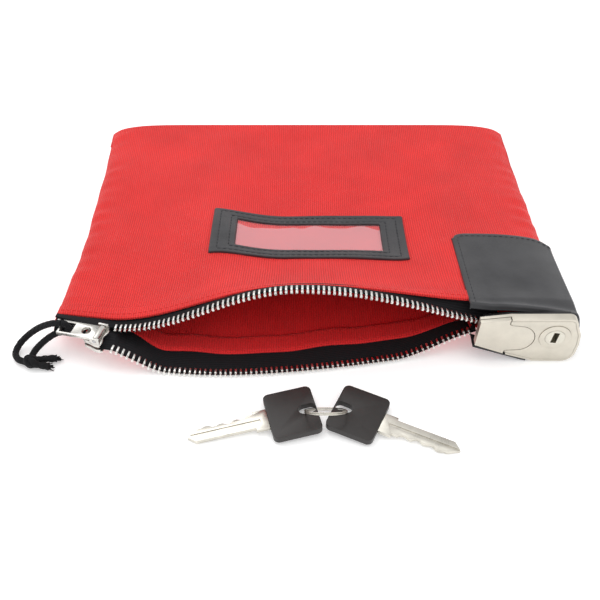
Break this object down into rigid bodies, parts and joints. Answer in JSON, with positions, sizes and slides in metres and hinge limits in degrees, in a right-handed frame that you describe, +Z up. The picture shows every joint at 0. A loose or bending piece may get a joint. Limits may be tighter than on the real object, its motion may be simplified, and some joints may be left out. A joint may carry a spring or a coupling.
{
  "type": "cash deposit bag",
  "caption": "Zipped cloth bag for cash, with a label window, a key-operated zip lock at one end of the mouth, a corded pull and loose keys.",
  "frame": {"origin": "middle of the bag's underside, on the surface that it lies on", "axes": "+X along the mouth to the lock, +Y from the mouth to the folded edge, +Z up"},
  "size_m": [0.3026, 0.2852, 0.049],
  "materials": {
    "nylon_red": "woven nylon, matt with a slight sheen",
    "zip_tape": "woven polyester tape, matt",
    "zip_metal": "nickel plate, fairly bright",
    "vinyl": "grained vinyl, satin",
    "clear_vinyl": "clear soft vinyl, glossy",
    "steel": "plain zinc-plated steel",
    "lock_satin": "satin nickel, warm",
    "plug_nickel": "satin nickel, turned",
    "brass": "plain turned brass",
    "cord": "braided polyester, matt",
    "key_metal": "nickel plate, lightly worn",
    "key_plastic": "moulded plastic, satin"
  },
  "bodies": {
    "lower_lip": {"hem_lower": "nylon_red", "zip_tape_lower": "zip_tape", "teeth_lower": "zip_metal"},
    "bag": {"back_panel": "nylon_red", "far_fold": "nylon_red", "side_seam_left": "nylon_red", "side_seam_right": "nylon_red", "zip_chain": "zip_metal", "bottom_stop": "zip_metal", "patch_upper": "vinyl", "patch_lower": "vinyl", "lock_boot": "vinyl", "lock_backing": "steel", "lock_rivets": "steel", "lock_tray": "lock_satin", "lock_cover": "lock_satin", "cylinder_shell": "lock_satin", "tumbler_pins": "brass", "tumbler_springs": "steel", "latch_pin": "steel", "latch_spring": "steel"},
    "mouth": {"front_panel": "nylon_red", "hem_upper": "nylon_red", "zip_tape_upper": "zip_tape", "teeth_upper": "zip_metal", "top_stop": "zip_metal", "label_frame": "vinyl", "label_window": "clear_vinyl"},
    "slider": {"slider_body": "zip_metal", "slider_crown": "zip_metal", "tab_pin_rod": "steel"},
    "tab": {"pull_tab": "zip_metal"},
    "cord": {"cord_strand_a": "cord", "cord_strand_b": "cord", "cord_bight": "cord", "cord_knot": "cord"},
    "latch": {"pop_latch": "lock_satin"},
    "plug": {"key_plug": "plug_nickel", "plug_clip": "steel", "plug_cam": "steel"},
    "bolt": {"lock_bolt": "steel", "bolt_link": "steel"},
    "ring": {"key_ring": "key_metal"},
    "key_a": {"key_a_head": "key_plastic", "key_a_blade": "key_metal"},
    "key_b": {"key_b_head": "key_plastic", "key_b_blade": "key_metal"}
  },
  "joints": [
    {"name": "zip_slide", "type": "slide", "parent": "bag", "child": "slider", "axis": [1, 0, 0], "range_m": [0, 0.186], "deforming": ["back_panel", "hem_lower", "zip_tape_lower", "teeth_lower", "zip_chain"]},
    {"name": "mouth_close", "type": "hinge", "parent": "bag", "child": "mouth", "pos_m": [0, 0.104, 0.005], "axis": [1, 0, 0], "range_deg": [0, 9.1], "deforming": ["front_panel", "hem_upper", "zip_tape_upper", "teeth_upper", "top_stop", "label_frame", "label_window", "side_seam_left", "side_seam_right", "far_fold", "patch_upper"]},
    {"name": "lip_lift", "type": "slide", "parent": "bag", "child": "lower_lip", "axis": [0, 0.78, 0.6258], "range_m": [0, 0.0162], "deforming": ["back_panel", "hem_lower", "zip_tape_lower", "teeth_lower", "patch_lower"]},
    {"name": "tab_swing", "type": "hinge", "parent": "slider", "child": "tab", "pos_m": [-0.11109, -0.11266, 0.019], "axis": [0.2756, 0.9613, 0], "range_deg": [0, 100]},
    {"name": "cord_swing", "type": "hinge", "parent": "tab", "child": "cord", "pos_m": [-0.1299, -0.1068, 0.01788], "axis": [0, 0, 1], "range_deg": [-8, 8]},
    {"name": "latch_pop", "type": "hinge", "parent": "bag", "child": "latch", "pos_m": [0.111, -0.11375, 0.018], "axis": [0, 0, 1], "range_deg": [0, 18]},
    {"name": "plug_turn", "type": "hinge", "parent": "bag", "child": "plug", "pos_m": [0.1282, -0.105, 0.0185], "axis": [0, 1, 0], "range_deg": [0, 90]},
    {"name": "bolt_slide", "type": "slide", "parent": "bag", "child": "bolt", "axis": [1, 0, 0], "range_m": [0, 0.0041]},
    {"name": "ring_lift", "type": "slide", "parent": "bag", "child": "ring", "axis": [0, 0, 1], "range_m": [0, 0.06]},
    {"name": "key_a_swing", "type": "hinge", "parent": "ring", "child": "key_a", "pos_m": [-0.0015, -0.1525, 0.0043], "axis": [0, 0, 1], "range_deg": [-7, 0]},
    {"name": "key_b_swing", "type": "hinge", "parent": "ring", "child": "key_b", "pos_m": [0.0165, -0.1515, 0.0043], "axis": [0, 0, 1], "range_deg": [0, 12]}
  ],
  "couplings": [
    {"joint": "lip_lift", "follows": "zip_slide", "ratio": 0.086022},
    {"joint": "mouth_close", "follows": "zip_slide", "rad_per_m": 0.84451},
    {"joint": "bolt_slide", "follows": "plug_turn", "m_per_rad": 0.0025465}
  ]
}
